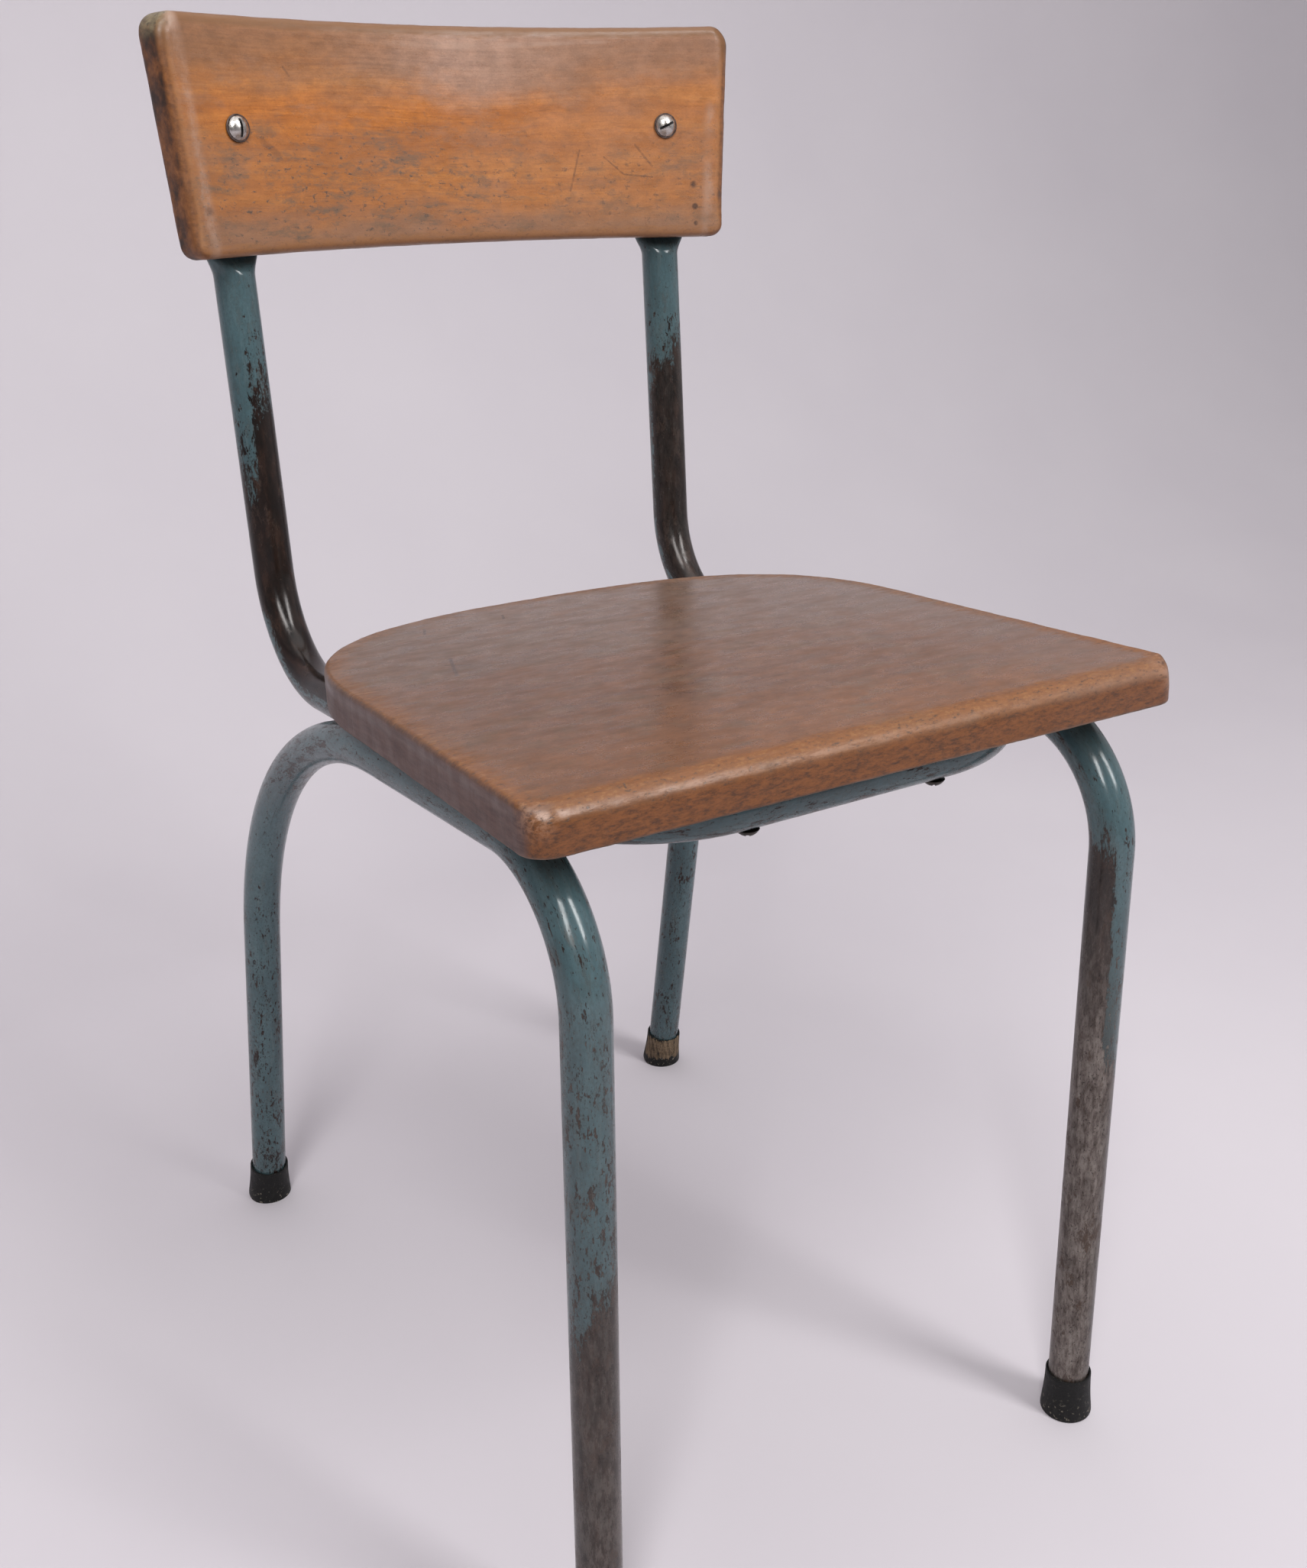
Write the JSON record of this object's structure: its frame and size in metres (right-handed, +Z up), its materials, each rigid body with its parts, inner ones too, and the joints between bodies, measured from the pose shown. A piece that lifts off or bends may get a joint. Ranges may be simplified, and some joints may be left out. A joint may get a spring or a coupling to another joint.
{
  "type": "chair",
  "caption": "Weathered school chair with a bent-tube frame in chipped paint, a solid wood seat and a curved wood backrest.",
  "frame": {"origin": "on the floor, in the middle of the four feet", "axes": "+Z up, -Y the way that a sitter faces, +X to the right of someone who looks at the chair from its front"},
  "size_m": [0.3494, 0.4717, 0.7355],
  "materials": {
    "frame_paint": "glossy petrol blue paint, chipped and rubbed to brown steel",
    "seat_wood": "worn satin varnish, grey-brown",
    "backrest_wood": "worn satin varnish, orange-brown",
    "ferrule_rubber": "scuffed",
    "dark_steel": "dull and browned",
    "bright_steel": "rubbed bright"
  },
  "bodies": {
    "root": {"seat_board": "seat_wood", "backrest_board": "backrest_wood", "left_leg_hoop": "frame_paint", "right_leg_hoop": "frame_paint", "back_frame_tube": "frame_paint", "front_left_ferrule": "ferrule_rubber", "front_right_ferrule": "ferrule_rubber", "rear_left_ferrule": "ferrule_rubber", "rear_right_ferrule": "ferrule_rubber", "front_left_seat_screw": "dark_steel", "front_right_seat_screw": "dark_steel", "rear_left_seat_screw": "dark_steel", "rear_right_seat_screw": "dark_steel", "left_backrest_screw": "bright_steel", "right_backrest_screw": "bright_steel", "left_backrest_washer": "dark_steel", "right_backrest_washer": "dark_steel", "left_backrest_nut": "dark_steel", "right_backrest_nut": "dark_steel", "left_front_weld": "frame_paint", "left_rear_weld": "frame_paint", "right_front_weld": "frame_paint", "right_rear_weld": "frame_paint"}
  },
  "joints": []
}
